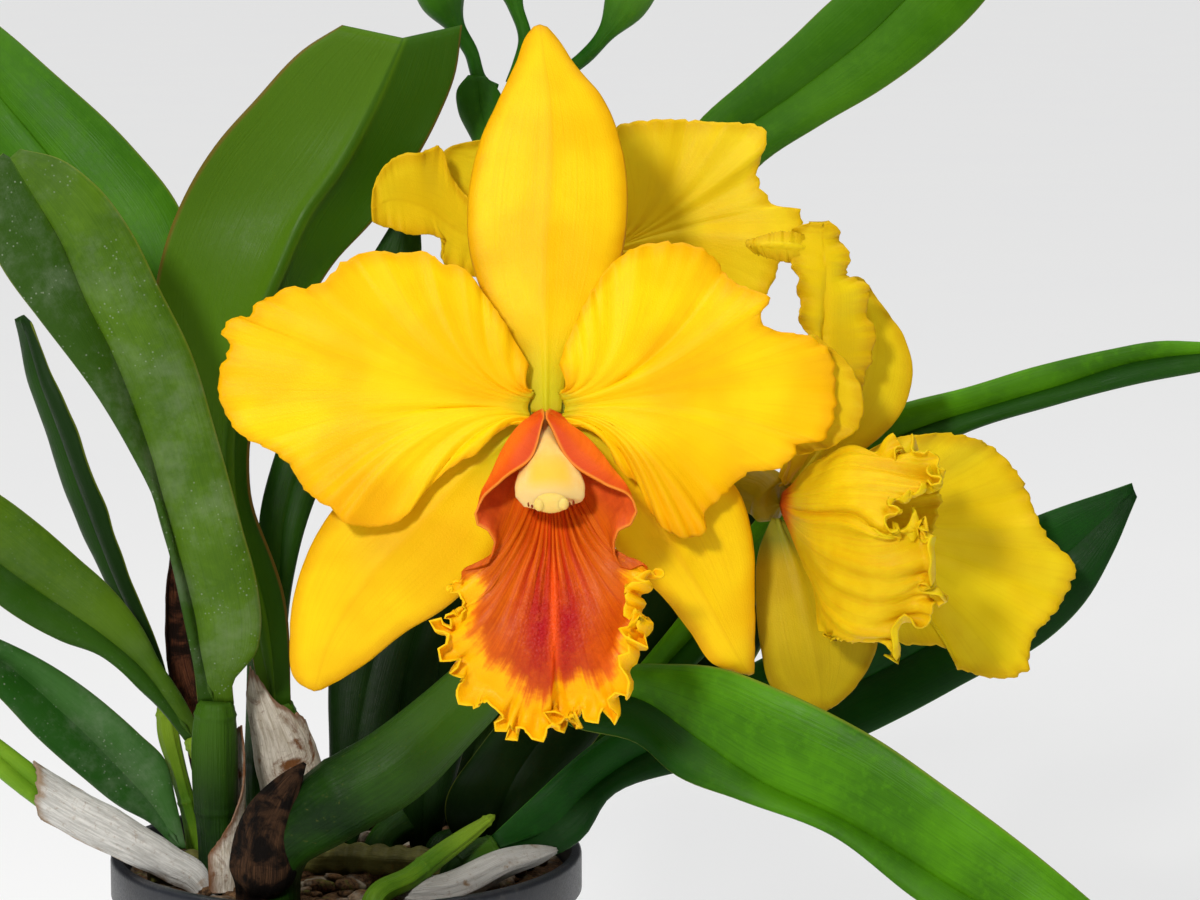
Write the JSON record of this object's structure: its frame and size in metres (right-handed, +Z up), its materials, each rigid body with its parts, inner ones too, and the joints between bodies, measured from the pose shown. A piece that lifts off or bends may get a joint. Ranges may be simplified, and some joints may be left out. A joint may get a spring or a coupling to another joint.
{
  "type": "potted cattleya orchid",
  "caption": "Cattleya orchid in a small round nursery pot, with open golden blooms, a frilled orange-red lip, buds, leaves and dry sheaths.",
  "frame": {"origin": "middle of the pot's underside, on the plane it rests on", "axes": "+Z up; the main bloom faces -Y; +X to the right as the viewer sees it"},
  "size_m": [0.2989, 0.1503, 0.2951],
  "materials": {
    "bark": "loose damp bark chips and moss, matte",
    "bud_green": "bright green, waxy",
    "bulb_green": "waxy dark green, faintly ridged",
    "column_cream": "cream yellow, waxy",
    "dark_sheath": "dry, papery, dark brown to black, matte",
    "dry_sheath": "dry, papery, pale grey-brown, matte",
    "leaf_green": "thick waxy dark green, satin, with pale dust spots",
    "lip_orange": "orange-red with orange stripes and a frilled yellow margin, soft sheen",
    "petal_yellow": "golden yellow tissue, branching veins, soft sheen",
    "pot_plastic": "semi-gloss black injection moulded plastic",
    "rhizome_skin": "dull olive brown",
    "sepal_yellow": "golden yellow tissue, fine parallel veins, soft sheen",
    "stem_green": "dull mid green, satin",
    "young_green": "fresh yellow-green, satin"
  },
  "bodies": {
    "root": {"bud_left": "bud_green", "bud_middle": "bud_green", "bud_peduncle": "stem_green", "bud_right": "bud_green", "bud_sheath": "leaf_green", "bulb_back_left": "bulb_green", "bulb_dark_right": "bulb_green", "bulb_far_right": "bulb_green", "bulb_front_left": "bulb_green", "bulb_front_right": "bulb_green", "bulb_notched": "bulb_green", "bulb_slender": "young_green", "bulb_top_right": "bulb_green", "bulb_upper_left": "young_green", "leaf_back_left": "leaf_green", "leaf_dark_right": "leaf_green", "leaf_far_right": "leaf_green", "leaf_front_left": "leaf_green", "leaf_front_right": "leaf_green", "leaf_lower_left": "leaf_green", "leaf_notched": "leaf_green", "leaf_shaded": "leaf_green", "leaf_slender": "leaf_green", "leaf_top_right": "leaf_green", "leaf_upper_left": "leaf_green", "leaf_upright": "leaf_green", "main_column": "column_cream", "main_dorsal_sepal": "sepal_yellow", "main_lateral_left": "sepal_yellow", "main_lateral_right": "sepal_yellow", "main_lip": "lip_orange", "main_ovary": "stem_green", "main_petal_left": "petal_yellow", "main_petal_right": "petal_yellow", "new_growth_leaf": "young_green", "new_growth_sheath": "dry_sheath", "peduncle": "stem_green", "pot": "pot_plastic", "potting_medium": "bark", "rear_dorsal_sepal": "sepal_yellow", "rear_lateral_left": "sepal_yellow", "rear_lateral_right": "sepal_yellow", "rear_lip": "lip_orange", "rear_ovary": "stem_green", "rear_petal_left": "petal_yellow", "rear_petal_right": "petal_yellow", "rhizome": "rhizome_skin", "sheath_brown": "dark_sheath", "sheath_dark": "dark_sheath", "sheath_grey": "dry_sheath", "sheath_papery": "dry_sheath", "sheath_white": "dry_sheath", "side_dorsal_sepal": "sepal_yellow", "side_lateral_far": "sepal_yellow", "side_lateral_near": "sepal_yellow", "side_lip": "lip_orange", "side_ovary": "stem_green", "side_petal_far": "petal_yellow", "side_petal_upper": "petal_yellow", "young_shoot": "young_green"}
  },
  "joints": []
}
